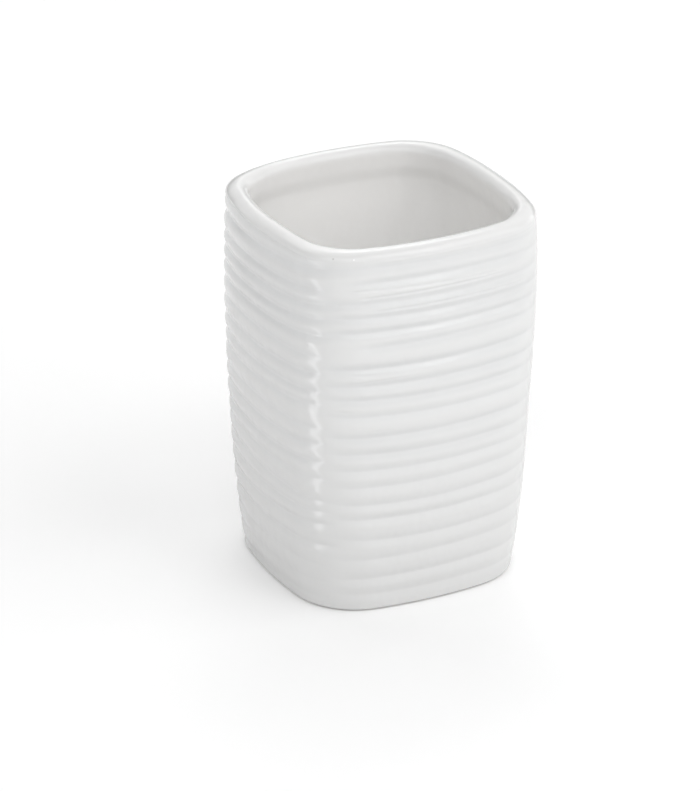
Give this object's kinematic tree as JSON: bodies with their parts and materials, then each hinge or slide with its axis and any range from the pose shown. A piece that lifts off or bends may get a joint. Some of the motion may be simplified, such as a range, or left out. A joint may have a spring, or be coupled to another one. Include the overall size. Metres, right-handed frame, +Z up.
{
  "type": "toothbrush holder tumbler",
  "caption": "Free-standing rounded-square ceramic tumbler for toothbrushes, with shallow uneven horizontal ribs and a thick rolled rim.",
  "frame": {"origin": "on the surface that the tumbler stands on, under the middle of the body", "axes": "+Z up, out of the mouth; the four flats of the rounded square face +X, -X, +Y and -Y, and the picture sees those towards -X and -Y"},
  "size_m": [0.0748, 0.0748, 0.105],
  "materials": {
    "white_glaze": "glossy white glaze over fired ceramic",
    "pad_rubber": "matt pale translucent rubber"
  },
  "bodies": {
    "root": {"tumbler_body": "white_glaze", "pad_front_left": "pad_rubber", "pad_front_right": "pad_rubber", "pad_back_left": "pad_rubber", "pad_back_right": "pad_rubber"}
  },
  "joints": []
}
